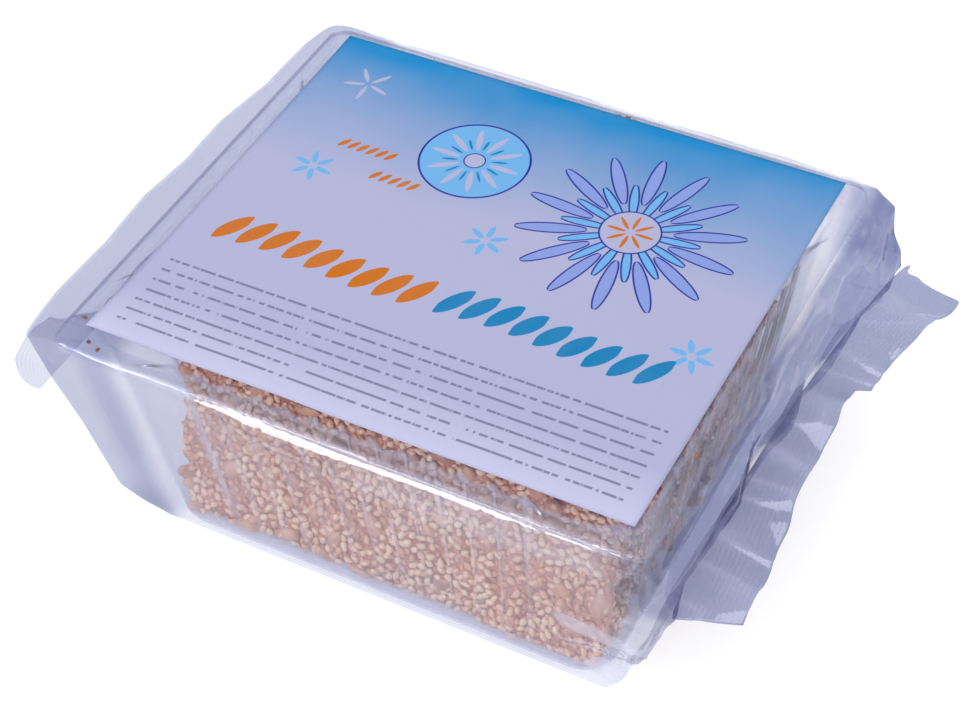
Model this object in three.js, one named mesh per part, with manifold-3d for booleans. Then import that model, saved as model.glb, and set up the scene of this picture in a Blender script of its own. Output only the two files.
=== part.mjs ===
// Slabs of sesame brittle in a clear plastic tray, sealed in a clear flow-wrap film with a paper label.
// The wrapped pack is one closed solid with its two end seals; the label lies on top of it.
// Millimetres, +X from the folded end to the open crimped end, +Y to the back, +Z up.

import * as THREE from 'three';
import { mergeVertices } from 'three/addons/utils/BufferGeometryUtils.js';
import Module from 'manifold-3d';

const wasm = await Module();
wasm.setup();

// Tray inside the film
const RIM_LENGTH = 161.6;
const RIM_DEPTH = 142;
const RIM_HEIGHT = 69.3;
const RIM_CORNER = 5;
const FLOOR_DEPTH = 117;

// Label: an A5-wide sheet, stuck a little askew
const LABEL_WIDTH = 148;
const LABEL_DEPTH = 130.3;
const LABEL_THICKNESS = 0.3;
const LABEL_GAP = 0.3;
const LABEL_X = 0.4;
const LABEL_Y = 2;
const LABEL_TURN = 0.25;

// Where the film stands at each end, at the front, middle and back of four heights
const KICK_HEIGHT = 5.7;
const SEAL_HEIGHT = 48.6;
const SHOULDER_HEIGHT = 66.3;
const LEFT_END = {
  floor: [-65.2, -66.5, -65],
  kick: [-78.8, -70, -75],
  seal: [-87, -86.5, -85],
  shoulder: [-88.5, -90.5, -83.2],
};
const RIGHT_END = {
  floor: [66.7, 67.5, 66],
  kick: [69.2, 70.5, 70],
  seal: [87.2, 85.6, 94],
  shoulder: [82.6, 84, 88],
};

// Crimped end seals
const SEAL_HALF_LENGTH = 62.5;
const SEAL_FRONT_SLANT = 4.5;
const SEAL_ROOT_DEPTH = 6;
const SEAL_THICKNESS = 1.2;
const RIGHT_SEAL_WIDTH = 11.5;
const RIGHT_BACK_FLARE = 9;
const RIGHT_FRONT_FLARE = 4.5;
const PLEAT_Y = 20.5;
const PLEAT_STEP = 3.5;
const WAVE_HEIGHT = 1.6;
const WAVE_LENGTH = 34;
const LEFT_SEAL_WIDTH = 9;
const LEFT_DROOP = 10;
const LOBE_FRONT = 71;
const LOBE_LENGTH = 34;
const LOBE_REACH = 15;

// Mesh steps
const SIDE_STEPS = 22;
const END_STEPS = 22;
const SEAL_STEPS_LONG = 44;
const SEAL_STEPS_WIDE = 5;

const mix = THREE.MathUtils.lerp;
const clamp = THREE.MathUtils.clamp;
const smooth = (value, low, high) => THREE.MathUtils.smoothstep(value, low, high);

// Film end at one height: a curve through its front, middle and back positions
function acrossEnd([front, middle, back], t) {
  const straight = mix(front, back, t);
  const bulge = middle - (front + back) / 2;
  return straight + bulge * Math.sqrt(Math.sin(Math.PI * t));
}

// Film end at any height, straight between the four stated heights
function endX(end, height, t) {
  if (height < KICK_HEIGHT) {
    return mix(acrossEnd(end.floor, t), acrossEnd(end.kick, t), height / KICK_HEIGHT);
  }
  if (height < SEAL_HEIGHT) {
    const up = (height - KICK_HEIGHT) / (SEAL_HEIGHT - KICK_HEIGHT);
    return mix(acrossEnd(end.kick, t), acrossEnd(end.seal, t), up);
  }
  const up = clamp((height - SEAL_HEIGHT) / (SHOULDER_HEIGHT - SEAL_HEIGHT), 0, 1);
  return mix(acrossEnd(end.seal, t), acrossEnd(end.shoulder, t), up);
}

// Front and back panels lean out from the tray's floor to its rim
function halfDepth(height) {
  return mix(FLOOR_DEPTH, RIM_DEPTH, clamp(height / RIM_HEIGHT, 0, 1)) / 2;
}

// One closed loop of the wrapped pack at a height: front, right end, back, left end
function packLoop(height) {
  const half = halfDepth(height);
  const loop = [];
  const side = (from, to, steps, place) => {
    for (let i = 0; i < steps; i++) loop.push(place(mix(from, to, i / steps)));
  };
  const corner = (end, t) => endX(end, height, t);
  const along = (t, u) => mix(corner(LEFT_END, t), corner(RIGHT_END, t), u);
  side(0, 1, SIDE_STEPS, (u) => new THREE.Vector3(along(0, u), -half, height));
  side(0, 1, END_STEPS, (t) => new THREE.Vector3(corner(RIGHT_END, t), mix(-half, half, t), height));
  side(1, 0, SIDE_STEPS, (u) => new THREE.Vector3(along(1, u), half, height));
  side(1, 0, END_STEPS, (t) => new THREE.Vector3(corner(LEFT_END, t), mix(-half, half, t), height));
  return loop;
}

// The tray's rim under the taut top film: a rectangle with round corners, point for point with packLoop
function rimLoop(inset, height) {
  const halfX = RIM_LENGTH / 2 - inset;
  const halfY = RIM_DEPTH / 2 - inset;
  const coreX = halfX - RIM_CORNER;
  const coreY = halfY - RIM_CORNER;
  const loop = [];
  const push = (x, y) => {
    const core = new THREE.Vector2(clamp(x, -coreX, coreX), clamp(y, -coreY, coreY));
    const out = new THREE.Vector2(x, y).sub(core).setLength(RIM_CORNER).add(core);
    loop.push(new THREE.Vector3(out.x, out.y, height));
  };
  for (let i = 0; i < SIDE_STEPS; i++) push(mix(-halfX, halfX, i / SIDE_STEPS), -halfY);
  for (let i = 0; i < END_STEPS; i++) push(halfX, mix(-halfY, halfY, i / END_STEPS));
  for (let i = 0; i < SIDE_STEPS; i++) push(mix(halfX, -halfX, i / SIDE_STEPS), halfY);
  for (let i = 0; i < END_STEPS; i++) push(-halfX, mix(halfY, -halfY, i / END_STEPS));
  return loop;
}

// Closed skin through loops of equal count, with a flat cap at the bottom and the top
function skinLoops(loops) {
  const count = loops[0].length;
  const points = loops.flat();
  const faces = [];
  for (let ring = 0; ring + 1 < loops.length; ring++) {
    for (let i = 0; i < count; i++) {
      const a = ring * count + i;
      const b = ring * count + ((i + 1) % count);
      faces.push(a, b, b + count, a, b + count, a + count);
    }
  }
  const bottom = points.push(new THREE.Vector3(0, 0, loops[0][0].z)) - 1;
  const top = points.push(new THREE.Vector3(0, 0, loops.at(-1)[0].z)) - 1;
  const last = (loops.length - 1) * count;
  for (let i = 0; i < count; i++) {
    const next = (i + 1) % count;
    faces.push(bottom, next, i, top, last + i, last + next);
  }
  return geometryFrom(points, faces);
}

function geometryFrom(points, faces) {
  const geometry = new THREE.BufferGeometry().setFromPoints(points);
  geometry.setIndex(faces);
  return geometry;
}

// Closed plate: a wavy middle surface given by u along Y and v outwards, with equal cover on both sides
function wavyPlate(middle, thickness, longSteps, wideSteps, mirrored) {
  const row = wideSteps + 1;
  const points = [];
  for (const face of [-0.5, 0.5]) {
    for (let i = 0; i <= longSteps; i++) {
      for (let j = 0; j <= wideSteps; j++) {
        const point = middle(i / longSteps, j / wideSteps);
        point.z += face * thickness;
        points.push(point);
      }
    }
  }
  const upper = (longSteps + 1) * row;
  const faces = [];
  const quad = (a, b, c, d) => {
    if (mirrored) faces.push(a, c, b, a, d, c);
    else faces.push(a, b, c, a, c, d);
  };
  for (let i = 0; i < longSteps; i++) {
    for (let j = 0; j < wideSteps; j++) {
      const a = i * row + j;
      quad(a, a + row, a + row + 1, a + 1);
      quad(upper + a, upper + a + 1, upper + a + row + 1, upper + a + row);
    }
    const inner = i * row;
    const outer = i * row + wideSteps;
    quad(inner, upper + inner, upper + inner + row, inner + row);
    quad(outer, outer + row, upper + outer + row, upper + outer);
  }
  for (let j = 0; j < wideSteps; j++) {
    const end = longSteps * row + j;
    quad(j, j + 1, upper + j + 1, upper + j);
    quad(end, upper + end, upper + end + 1, end + 1);
  }
  return geometryFrom(points, faces);
}

// Where the seal's root lies on the film end
function rootX(end, y) {
  return endX(end, SEAL_HEIGHT, clamp((y / halfDepth(SEAL_HEIGHT) + 1) / 2, 0, 1));
}

// Right seal: stands straight out, flared at both ends, with a pleat where it was folded over
function rightSealPoint(u, v) {
  const front = SEAL_HALF_LENGTH + SEAL_FRONT_SLANT * (1 - v);
  const y = mix(-front, SEAL_HALF_LENGTH, u);
  const frontFlare = RIGHT_FRONT_FLARE * smooth(-y, 0, SEAL_HALF_LENGTH);
  const backFlare = RIGHT_BACK_FLARE * smooth(y, PLEAT_Y, SEAL_HALF_LENGTH);
  const pleat = PLEAT_STEP * smooth(y, PLEAT_Y - 1, PLEAT_Y + 1);
  const outer = RIGHT_END.seal[1] + RIGHT_SEAL_WIDTH + frontFlare + backFlare + pleat;
  const wave = WAVE_HEIGHT * Math.sin((2 * Math.PI * y) / WAVE_LENGTH) * v;
  return new THREE.Vector3(mix(rootX(RIGHT_END, y) - SEAL_ROOT_DEPTH, outer, v), y, SEAL_HEIGHT + wave);
}

// Left seal: folded down against the end, with its front end standing out as a round lobe
function leftSealPoint(u, v) {
  const y = mix(-LOBE_FRONT, SEAL_HALF_LENGTH, u);
  const fromTip = (y + LOBE_FRONT) / LOBE_LENGTH;
  const lobe = Math.sqrt(Math.max(0, 1 - (2 * fromTip - 1) ** 2));
  const folded = smooth(fromTip, 0.5, 1.2);
  const reach = Math.max(LEFT_SEAL_WIDTH * folded, LOBE_REACH * lobe, 1);
  const x = mix(rootX(LEFT_END, y) + SEAL_ROOT_DEPTH, rootX(LEFT_END, y) - reach, v);
  return new THREE.Vector3(x, y, SEAL_HEIGHT - LEFT_DROOP * folded * v * v);
}

function toSolid(geometry) {
  const merged = mergeVertices(geometry, 1e-4);
  return new wasm.Manifold(new wasm.Mesh({
    numProp: 3,
    vertProperties: new Float32Array(merged.attributes.position.array),
    triVerts: new Uint32Array(merged.index.array),
  }));
}

function fromSolid(solid) {
  const mesh = solid.getMesh();
  const geometry = new THREE.BufferGeometry();
  geometry.setAttribute('position', new THREE.BufferAttribute(mesh.vertProperties.slice(), 3));
  geometry.setIndex([...mesh.triVerts]);
  geometry.computeVertexNormals();
  return geometry;
}

// Wrapped pack: body loops from the floor up over the shoulder and onto the rim, and both seals
function makeFilmPack() {
  const loops = [0, 2, KICK_HEIGHT, 16, 27, 38, SEAL_HEIGHT, 54, 60, 64, SHOULDER_HEIGHT].map(packLoop);
  loops.push(rimLoop(0, RIM_HEIGHT), rimLoop(2, RIM_HEIGHT));
  const body = toSolid(skinLoops(loops));
  const seal = (point, mirrored) =>
    toSolid(wavyPlate(point, SEAL_THICKNESS, SEAL_STEPS_LONG, SEAL_STEPS_WIDE, mirrored));
  const whole = body.add(seal(rightSealPoint, false)).add(seal(leftSealPoint, true));
  const material = new THREE.MeshStandardMaterial({
    color: 0xdcdcf2, roughness: 0.12, metalness: 0, transparent: true, opacity: 0.45,
  });
  const mesh = new THREE.Mesh(fromSolid(whole), material);
  mesh.name = 'film_pack';
  return mesh;
}

// Paper label, stuck on the outside of the top film
function makeLabel() {
  const geometry = new THREE.BoxGeometry(LABEL_WIDTH, LABEL_DEPTH, LABEL_THICKNESS);
  const material = new THREE.MeshStandardMaterial({ color: 0xc9cdf0, roughness: 0.5, metalness: 0 });
  const mesh = new THREE.Mesh(geometry, material);
  mesh.name = 'label';
  mesh.position.set(LABEL_X, LABEL_Y, RIM_HEIGHT + LABEL_GAP + LABEL_THICKNESS / 2);
  mesh.rotation.z = THREE.MathUtils.degToRad(LABEL_TURN);
  return mesh;
}

const pack = new THREE.Group();
pack.add(makeFilmPack(), makeLabel());

// The origin is the middle of the base of the whole pack's box
const box = new THREE.Box3().setFromObject(pack);
pack.position.set(-(box.min.x + box.max.x) / 2, -(box.min.y + box.max.y) / 2, -box.min.z);

export default pack;
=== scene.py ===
import math
from functools import partial, partialmethod

import bpy
import numpy as np
from mathutils import Matrix, Vector


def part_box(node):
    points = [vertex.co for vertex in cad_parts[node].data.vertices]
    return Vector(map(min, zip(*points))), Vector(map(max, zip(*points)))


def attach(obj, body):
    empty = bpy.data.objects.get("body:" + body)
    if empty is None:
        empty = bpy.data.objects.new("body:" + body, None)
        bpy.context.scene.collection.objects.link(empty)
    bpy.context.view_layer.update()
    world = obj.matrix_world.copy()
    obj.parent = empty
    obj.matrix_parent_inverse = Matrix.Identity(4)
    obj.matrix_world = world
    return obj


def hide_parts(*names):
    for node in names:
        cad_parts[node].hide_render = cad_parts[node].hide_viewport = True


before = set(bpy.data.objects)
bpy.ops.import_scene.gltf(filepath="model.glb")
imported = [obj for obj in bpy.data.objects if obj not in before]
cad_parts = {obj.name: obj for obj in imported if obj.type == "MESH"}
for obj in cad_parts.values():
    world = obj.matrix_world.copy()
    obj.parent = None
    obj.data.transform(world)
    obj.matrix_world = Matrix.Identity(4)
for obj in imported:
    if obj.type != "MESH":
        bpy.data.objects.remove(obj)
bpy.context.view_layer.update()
scene = bpy.context.scene


# Tray: thin clear thermoformed plastic with upright flutes in its walls, a flat floor, and a flange
# with a turned-down lip that carries the film. One closed shell, its two skins joined at the lip.
# Lengths here and below are millimetres from the middle of the tray's floor, as the pack is drawn.
MM = 0.001
LABEL_CENTRE = (0.4, 2.0)
label_low, label_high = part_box("label")
tray_centre = np.array([
    (label_low.x + label_high.x) / 2 - LABEL_CENTRE[0] * MM,
    (label_low.y + label_high.y) / 2 - LABEL_CENTRE[1] * MM,
    0.0,
])
RIM_HALF = np.array([80.8, 71.0])
RIM_HEIGHT = 69.3
RIM_CORNER = 5.0
TRAY_FLOOR_HALF = np.array([63.2, 57.9])
TRAY_FLOOR_SHIFT = 1.8
TRAY_TOP_HALF = np.array([74.8, 65.3])
TRAY_TOP = 68.55
TRAY_WALL = 0.35
TRAY_UNDERSIDE = 0.45
TRAY_CORNER_FLOOR = 9.0
TRAY_CORNER_TOP = 14.0
FLANGE_EDGE_HALF = np.array([80.2, 70.2])
LIP_DROP = 1.9
FLUTE_DEPTH = 1.7
FLUTES_LONG = 12
FLUTES_SHORT = 10
FLUTED_SHARE = 0.78
FLUTE_END = 0.015
FLUTE_STEPS = (0.0, 0.035, 0.12, 0.3, 0.5, 0.7, 0.88, 0.965)
PLAIN_COLUMNS = 4
TRAY_CORNER_COLUMNS = 9
PLASTIC_ROUGHNESS = 0.07
PLASTIC_MIRROR = (0.97, 0.97, 1, 1)
EDGE_ON_SHARE = 0.3


def placed(name, data):
    """A new object in the scene."""
    made = bpy.data.objects.new(name, data)
    scene.collection.objects.link(made)
    return made


def smooth_mesh(name, points, faces):
    """A closed smooth mesh with its faces turned outwards, by the sign of the volume it encloses."""
    mesh = bpy.data.meshes.new(name)
    mesh.from_pydata(points.tolist(), [], faces)
    mesh.polygons.foreach_set("use_smooth", [True] * len(mesh.polygons))
    mesh.calc_loop_triangles()
    corners = np.empty(len(mesh.loop_triangles) * 3, np.int32)
    mesh.loop_triangles.foreach_get("vertices", corners)
    places = np.empty(len(mesh.vertices) * 3, np.float32)
    mesh.vertices.foreach_get("co", places)
    a, b, c = places.reshape(-1, 3)[corners.reshape(-1, 3)].transpose(1, 0, 2)
    if np.einsum("ij,ij->", a, np.cross(b, c)) < 0:
        mesh.flip_normals()
    return mesh


def new_piece(name, points, faces, material, slot):
    """A closed piece from points in tray millimetres, with its material; its slot is not used."""
    mesh = smooth_mesh(name, np.asarray(points) * MM + tray_centre, faces)
    mesh.materials.append(material)
    piece = placed(name, mesh)
    return piece


def skin(loops):
    """Points and faces of a closed skin over loops of equal count, with a centre point at each end."""
    count, rows = len(loops[0]), len(loops)
    points = np.concatenate([*loops, [np.mean(loops[0], axis=0)], [np.mean(loops[-1], axis=0)]])
    here = np.arange(count)
    after = (here + 1) % count
    low = np.arange(rows - 1)[:, None] * count
    high = low + count
    quads = np.stack([low + here, low + after, high + after, high + here], axis=-1).reshape(-1, 4)
    first, last, top = rows * count, rows * count + 1, (rows - 1) * count
    start_fan = np.column_stack([np.full(count, first), after, here])
    end_fan = np.column_stack([np.full(count, last), top + here, top + after])
    return points, quads.tolist() + start_fan.tolist() + end_fan.tolist()


def square_grid(long_steps, wide_steps):
    """Places along and across a sheet, each from 0 to 1."""
    return np.meshgrid(np.linspace(0, 1, long_steps + 1), np.linspace(0, 1, wide_steps + 1), indexing="ij")


def thin_sheet(grid, top, bottom):
    """Points and faces of a closed sheet: a grid of points raised to its top and to its bottom, joined."""
    rows, columns = grid.shape[:2]
    under = rows * columns
    at = np.arange(under).reshape(rows, columns)
    flat = np.stack([at[:-1, :-1], at[1:, :-1], at[1:, 1:], at[:-1, 1:]], axis=-1).reshape(-1, 4)
    ring = np.concatenate([at[0, :-1], at[:-1, -1], at[-1, :0:-1], at[:0:-1, 0]])
    after = np.roll(ring, -1)
    edge = np.column_stack([ring, after, after + under, ring + under])
    points = np.concatenate([grid.reshape(-1, 3) + [0, 0, rise] for rise in (top, bottom)])
    return points, np.concatenate([flat, flat[:, ::-1] + under, edge]).tolist()


def joined(parts):
    """Several meshes' points and faces as one."""
    points, faces, start = [], [], 0
    for part_points, part_faces in parts:
        faces += [[corner + start for corner in face] for face in part_faces]
        points.append(part_points)
        start += len(part_points)
    return np.concatenate(points), faces


def tray_columns():
    """For each column round the tray: its wall, its place along that wall or corner, and its flute."""
    plain = np.linspace(FLUTED_SHARE + FLUTE_END, 1, PLAIN_COLUMNS)
    round_corner = np.linspace(0, 1, TRAY_CORNER_COLUMNS, endpoint=False)
    columns = []
    for wall in range(4):
        flutes = FLUTES_LONG if wall % 2 == 0 else FLUTES_SHORT
        columns += [(wall, -place, 0.0, False) for place in plain[::-1]]
        for flute in range(flutes):
            for across in FLUTE_STEPS:
                place = FLUTED_SHARE * (2 * (flute + across) / flutes - 1)
                columns.append((wall, place, abs(2 * across - 1) ** 2.2, False))
        columns.append((wall, FLUTED_SHARE, 1.0, False))
        columns += [(wall, place, 0.0, False) for place in plain[:-1]]
        columns += [(wall, place, 0.0, True) for place in round_corner]
    return columns


TRAY_COLUMNS = tray_columns()
WALL_OUT = np.array([[0, -1], [1, 0], [0, 1], [-1, 0]])
WALL_ALONG = np.array([[1, 0], [0, 1], [-1, 0], [0, -1]])


def tray_loop(half, corner, height, flute=0.0):
    """One loop of the tray: a rectangle with round corners, its flutes pinched in between arcs."""
    loop = np.empty((len(TRAY_COLUMNS), 3))
    loop[:, 2] = height
    for index, (wall, place, pinch, in_corner) in enumerate(TRAY_COLUMNS):
        out, along = WALL_OUT[wall], WALL_ALONG[wall]
        core = half - corner
        if in_corner:
            angle = place * math.pi / 2
            centre = core * (out + along)
            loop[index, :2] = centre + corner * (out * math.cos(angle) + along * math.sin(angle))
        else:
            reach = abs(out) @ half - pinch * flute
            loop[index, :2] = out * reach + along * place * (abs(along) @ core)
    loop[:, 0] += TRAY_FLOOR_SHIFT * (1 - height / TRAY_TOP)
    return loop


def tray_profile(skin_offset):
    """The tray's loops from the middle of its floor to the foot of its lip, on one of its two skins."""
    floor = TRAY_UNDERSIDE + skin_offset
    loops = [tray_loop(TRAY_FLOOR_HALF * share, TRAY_CORNER_FLOOR * share, floor)
             for share in (0.06, 0.35, 0.7, 0.95)]
    for inset, rise in ((1.0, 0.25), (0.3, 1.0)):
        loops.append(tray_loop(TRAY_FLOOR_HALF - inset - skin_offset, TRAY_CORNER_FLOOR, floor + rise))
    for height in (3, 6, 9, 13, 20, 28, 36, 44, 52, 60, 65, 67):
        share = height / TRAY_TOP
        half = TRAY_FLOOR_HALF + (TRAY_TOP_HALF - TRAY_FLOOR_HALF) * share - skin_offset
        corner = TRAY_CORNER_FLOOR + (TRAY_CORNER_TOP - TRAY_CORNER_FLOOR) * share
        loops.append(tray_loop(half, corner, height, FLUTE_DEPTH * min(1, max(0, height - 4) / 12)))
    wall_top = tray_loop(TRAY_TOP_HALF + 0.5 - skin_offset, TRAY_CORNER_TOP, TRAY_TOP, FLUTE_DEPTH)
    edge = tray_loop(FLANGE_EDGE_HALF, RIM_CORNER, TRAY_TOP)
    for share, height in ((0.0, -0.5), (0.12, -0.1), (0.3, 0.0), (0.65, 0.0), (0.93, 0.0)):
        loop = wall_top + (edge - wall_top) * share
        loop[:, 2] = TRAY_TOP + height + skin_offset * 0.8
        loops.append(loop)
    for spread, drop in ((0.0, 0.25), (0.3, 1.0), (0.4, LIP_DROP)):
        loops.append(tray_loop(FLANGE_EDGE_HALF + spread + skin_offset * 0.6, RIM_CORNER,
                               TRAY_TOP - drop + skin_offset * 0.4))
    return loops


def new_material(name):
    """An empty node material and its tree."""
    material = bpy.data.materials.new(name)
    material.use_nodes = True
    material.node_tree.nodes.clear()
    return material, material.node_tree


def add(tree, kind, sockets=None, **settings):
    """A new node, each socket set to a value or linked to a socket or to a node's first output."""
    made = tree.nodes.new(kind)
    for name, value in settings.items():
        setattr(made, name, value)
    for socket, value in (sockets or {}).items():
        if isinstance(value, bpy.types.Node):
            value = value.outputs[0]
        if isinstance(value, bpy.types.NodeSocket):
            tree.links.new(value, made.inputs[socket])
        else:
            made.inputs[socket].default_value = value
    return made


def sum_up(tree, operation, *values):
    """The result of one math node."""
    return add(tree, "ShaderNodeMath", dict(enumerate(values)), operation=operation).outputs[0]


def blend(tree, factor, first, second):
    """The colour between two colours, by a factor."""
    mixer = add(tree, "ShaderNodeMix", {0: factor, 6: first, 7: second}, data_type="RGBA")
    return mixer.outputs[2]


def stored(tree, name):
    """The number that a piece stores under a name."""
    return add(tree, "ShaderNodeAttribute", attribute_name=name).outputs["Fac"]


def finished(material, kind, sockets):
    """The material, with one shader as its surface."""
    shader = add(material.node_tree, kind, sockets)
    add(material.node_tree, "ShaderNodeOutputMaterial", {"Surface": shader})
    return material


def rgb(red, green, blue):
    """A colour picked as 8-bit sRGB, in the linear numbers that a shader's socket takes."""
    linear = [((c / 255 + 0.055) / 1.055) ** 2.4 if c > 10 else c / 255 / 12.92 for c in (red, green, blue)]
    return (*linear, 1.0)


def uneven_group():
    """Shader group: a soft blotchy value between Low and High, at a size set by Scale."""
    tree = bpy.data.node_groups.new("uneven", "ShaderNodeTree")
    for name, start in (("Scale", 100.0), ("Detail", 3.0), ("Low", 0.0), ("High", 1.0)):
        tree.interface.new_socket(name, in_out="INPUT", socket_type="NodeSocketFloat").default_value = start
    tree.interface.new_socket("Stretch", in_out="INPUT", socket_type="NodeSocketVector")
    tree.interface.new_socket("Value", in_out="OUTPUT", socket_type="NodeSocketFloat")
    ends = add(tree, "NodeGroupInput").outputs
    place = add(tree, "ShaderNodeTexCoord").outputs["Object"]
    pulled = add(tree, "ShaderNodeVectorMath", {0: place, 1: ends["Stretch"]}, operation="MULTIPLY")
    noise = add(tree, "ShaderNodeTexNoise", {
        "Vector": pulled, "Scale": ends["Scale"], "Detail": ends["Detail"]})
    spread = add(tree, "ShaderNodeMapRange", {
        "Value": noise, "From Min": 0.3, "From Max": 0.7, "To Min": ends["Low"], "To Max": ends["High"]})
    add(tree, "NodeGroupOutput", {"Value": spread})
    return tree


UNEVEN = uneven_group()


def uneven(tree, scale, low, high, detail=3.0, stretch=(1.0, 1.0, 1.0)):
    """The value of one uneven group placed in a material."""
    sockets = {"Scale": scale, "Detail": detail, "Low": low, "High": high, "Stretch": stretch}
    made = tree.nodes.new("ShaderNodeGroup")
    made.node_tree = UNEVEN
    for name, value in sockets.items():
        made.inputs[name].default_value = value
    return made.outputs["Value"]


def clear_plastic(material, tint, veil, cloud, facing_on, bent=None):
    """A thin clear sheet: a tint to look through, a cloudy veil, and a mirror that grows at a slant."""
    tree = material.node_tree
    normal = {"Normal": bent} if bent else {}
    through = add(tree, "ShaderNodeBsdfTransparent", {"Color": tint})
    milk = add(tree, "ShaderNodeBsdfDiffuse", {"Color": veil})
    body = add(tree, "ShaderNodeMixShader", {0: cloud, 1: through, 2: milk})
    mirror = add(tree, "ShaderNodeBsdfGlossy", {
        "Roughness": PLASTIC_ROUGHNESS, "Color": PLASTIC_MIRROR, **normal})
    look = add(tree, "ShaderNodeLayerWeight", {"Blend": 0.5, **normal})
    steep = sum_up(tree, "POWER", look.outputs["Facing"], 4.0)
    share = sum_up(tree, "MULTIPLY_ADD", steep, EDGE_ON_SHARE - facing_on, facing_on)
    return finished(material, "ShaderNodeMixShader", {0: share, 1: body, 2: mirror})


def ease(value, low, high):
    """How far a value has come from a low to a high, from 0 to 1, eased at both ends."""
    share = np.clip((value - low) / (high - low), 0, 1)
    return share * share * (3 - 2 * share)


def name_points(piece, name, values):
    """Stores one number for each point of a piece, for its material to read."""
    filled = np.zeros(len(piece.data.vertices), np.float32)
    filled[:len(values)] = values
    piece.data.attributes.new(name, "FLOAT", "POINT").data.foreach_set("value", filled)


def mark_tray(piece, points, rows):
    """Marks where the drawn plastic looks milky (cusps, foot, fold at the flange), and a line of painted
    shade along the lip.
    """
    out = np.max(np.abs(points[:, :2] - [TRAY_FLOOR_SHIFT, 0]) / TRAY_FLOOR_HALF, axis=1)
    far = np.max(np.abs(points[:, :2]) / FLANGE_EDGE_HALF, axis=1)
    height = points[:, 2]
    pinch = np.zeros(len(points))
    pinch[:rows * len(TRAY_COLUMNS)] = np.tile([column[2] for column in TRAY_COLUMNS], rows)
    cusp = ease(pinch, 0.84, 1.0) * ease(height, 6, 16) * ease(-height, -68.4, -66)
    foot = ease(out, 0.7, 1.0) * ease(-height, -9, -1.2)
    fold = ease(height, 67.4, 68.2) * ease(-far, -0.957, -0.947)
    lip = ease(far, 0.985, 1.0)
    name_points(piece, "milky", 0.42 * cusp + 0.4 * foot + 0.12 * fold + 0.1 * lip)
    # Painted shade: a dark line is painted into the tint along the lip, fainter on the front and right sides.
    fainter_shade_side = np.maximum(ease(-points[:, 1], 60, 69), 0.6 * ease(points[:, 0], 60, 75))
    name_points(piece, "painted_lip_shade", 0.5 * lip * (1 - fainter_shade_side))


def tray_plastic():
    material, tree = new_material("clear_tray_plastic")
    # Painted shade: the marked lip darkens the see-through tint.
    tint = blend(tree, stored(tree, "painted_lip_shade"), (0.96, 0.966, 0.985, 1), (0.72, 0.73, 0.8, 1))
    cloud = sum_up(tree, "ADD", stored(tree, "milky"), uneven(tree, 55, 0.0, 0.015, 1))
    return clear_plastic(material, tint, rgb(214, 214, 236), cloud, 0.022)


# The clear pieces cast no shadow: a light ray passes a few clear skins only, and more lie in its way.
inner_skin, outer_skin = tray_profile(TRAY_WALL), tray_profile(0.0)
tray_points, tray_faces = skin(inner_skin + outer_skin[::-1])
tray = new_piece("clear_tray", tray_points, tray_faces, tray_plastic(), "tray")
mark_tray(tray, tray_points, len(inner_skin) + len(outer_skin))
tray.visible_shadow = False
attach(tray, "root")


# Slabs of brittle: sesame and sunflower seeds rolled thin in boiled sugar and cut, eleven of them stood
# on edge in the front two thirds of the tray, each leaning back on the next. This is their brown sugar.
SLABS = 11
SLAB_LEFT = -57.4
SLAB_RIGHT = 62.4
SLAB_FLARE = 0.09
SLAB_HEIGHT = 57.5
SLAB_CORE = 3.0
SLAB_PITCH = 8.3
FRONT_SLAB_FOOT = -54.3
SLAB_FLOOR = 3.6
SLAB_LEAN = 11.0
SLAB_STEP = 1.5
SEEDED_TOP = 0.9
SEEDED_END = 0.87
UNSEEDED = 0
ZONES = {"front": 1, "edges": 2, "back": 3, "between": 4, "foot": 5, "ends": 6}
LATTICE = 32
draw = np.random.default_rng(41)
lattice = draw.random((LATTICE, LATTICE, LATTICE))


def drift(points, size, shift=0.0):
    """Smooth seeded noise from 0 to 1 at points, its lumps as large as size, which may differ by axis."""
    scaled = np.asarray(points) / np.asarray(size) + shift + 0.37
    cell = np.floor(scaled).astype(int)
    part = scaled - cell
    part = part * part * (3 - 2 * part)
    total = 0.0
    for corner in np.ndindex(2, 2, 2):
        weight = np.prod(np.where(corner, part, 1 - part), axis=-1)
        at = (cell + corner) % LATTICE
        total = total + weight * lattice[at[..., 0], at[..., 1], at[..., 2]]
    return total


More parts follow.
